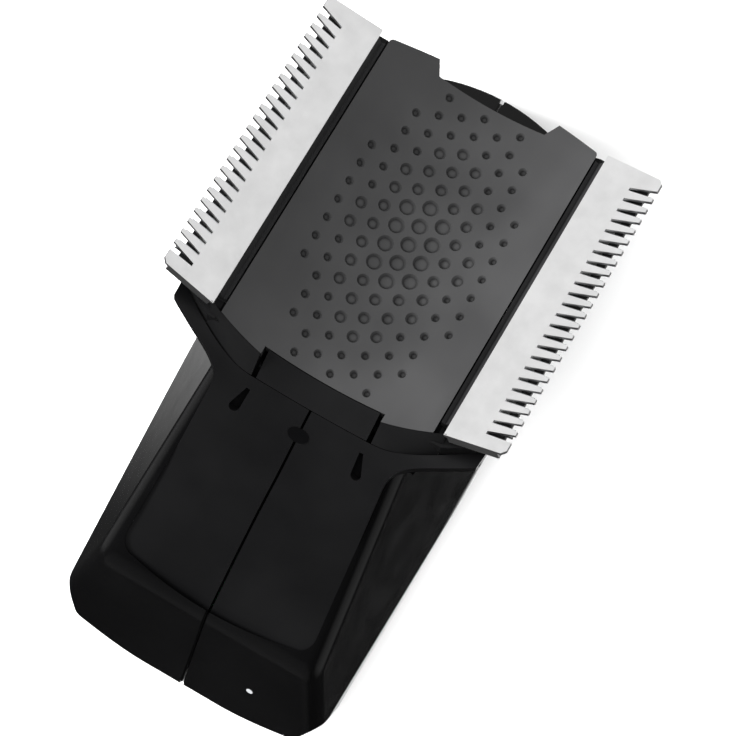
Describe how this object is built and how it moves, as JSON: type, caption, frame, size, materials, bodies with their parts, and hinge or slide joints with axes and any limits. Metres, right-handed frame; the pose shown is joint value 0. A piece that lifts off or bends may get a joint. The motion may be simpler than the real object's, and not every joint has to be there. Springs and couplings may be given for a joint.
{
  "type": "body groomer",
  "caption": "Palm-held cordless body groomer: a dimpled trough between two toothed comb blades sits in a winged head on a gloss wedge-shaped body that lies on its flat back",
  "frame": {"origin": "middle of the flat back that the groomer lies on", "axes": "+Z out of the back towards the cutting head, +Y along the body towards the head's far end, +X to the user's right when looking down on the head"},
  "size_m": [0.0458, 0.086, 0.0403],
  "materials": {
    "shell_gloss": "gloss",
    "panel_satin": "satin",
    "charcoal": "satin",
    "plate_grey": "satin",
    "comb_steel": "brushed",
    "cutter_steel": "ground",
    "spring_steel": "satin",
    "screw_steel": "plated",
    "lens_clear": "gloss",
    "badge_chrome": "polished",
    "white_acetal": "satin",
    "tray_plastic": "matte",
    "motor_steel": "satin",
    "lamination": "matte",
    "magnet": "matte",
    "copper": "enamelled",
    "bronze": "sintered",
    "seal_rubber": "matte",
    "board_green": "satin",
    "cell_wrap": "satin",
    "contact_gold": "polished"
  },
  "bodies": {
    "housing": {"right_housing": "shell_gloss", "left_housing": "shell_gloss", "charge_lens": "lens_clear", "right_front_panel": "panel_satin", "left_front_panel": "panel_satin", "emblem": "badge_chrome", "head_frame": "charcoal", "right_comb": "comb_steel", "left_comb": "comb_steel", "right_blade_rail": "panel_satin", "left_blade_rail": "panel_satin", "right_pressure_leaf": "spring_steel", "left_pressure_leaf": "spring_steel", "stator_core": "lamination", "front_coil": "copper", "rear_coil": "copper", "motor_can": "motor_steel", "motor_bracket": "motor_steel", "upper_bush": "bronze", "lower_bush": "bronze", "shaft_seal": "seal_rubber", "frame_screws": "screw_steel", "cover_screws": "screw_steel", "back_cover": "tray_plastic", "battery_tray": "tray_plastic", "battery": "cell_wrap", "control_board": "board_green", "power_switch": "tray_plastic", "charge_contacts": "contact_gold"},
    "rocker": {"rocker": "white_acetal", "right_drive_pin": "spring_steel", "left_drive_pin": "spring_steel", "motor_shaft": "spring_steel", "rotor_magnet": "magnet"},
    "right_cutter": {"right_cutter": "cutter_steel", "right_follower": "white_acetal"},
    "left_cutter": {"left_cutter": "cutter_steel", "left_follower": "white_acetal"},
    "comfort_plate": {"comfort_plate": "plate_grey"},
    "release_tab": {"release_tab": "charcoal"},
    "power_knob": {"power_knob": "charcoal"}
  },
  "joints": [
    {"name": "rocker_swing", "type": "hinge", "parent": "housing", "child": "rocker", "pos_m": [0, 0.022, 0.026], "axis": [0, 0.3746, 0.9272], "range_deg": [-2.6, 2.6], "stiffness_Nm_per_rad": 0.1},
    {"name": "right_cutter_slide", "type": "slide", "parent": "housing", "child": "right_cutter", "axis": [0, 0.9272, -0.3746], "range_m": [-0.00075, 0.00075]},
    {"name": "left_cutter_slide", "type": "slide", "parent": "housing", "child": "left_cutter", "axis": [0, 0.9272, -0.3746], "range_m": [-0.00075, 0.00075]},
    {"name": "comfort_plate_lift", "type": "slide", "parent": "housing", "child": "comfort_plate", "axis": [0, 0.3746, 0.9272], "range_m": [0, 0.012]},
    {"name": "release_tab_press", "type": "slide", "parent": "housing", "child": "release_tab", "axis": [0, -0.3746, -0.9272], "range_m": [0, 0.0006], "stiffness_N_per_m": 1500},
    {"name": "power_knob_slide", "type": "slide", "parent": "housing", "child": "power_knob", "axis": [0, 1, 0], "range_m": [0, 0.0032]}
  ],
  "couplings": [
    {"joint": "right_cutter_slide", "follows": "rocker_swing", "m_per_rad": 0.0165},
    {"joint": "left_cutter_slide", "follows": "rocker_swing", "m_per_rad": -0.0165}
  ]
}
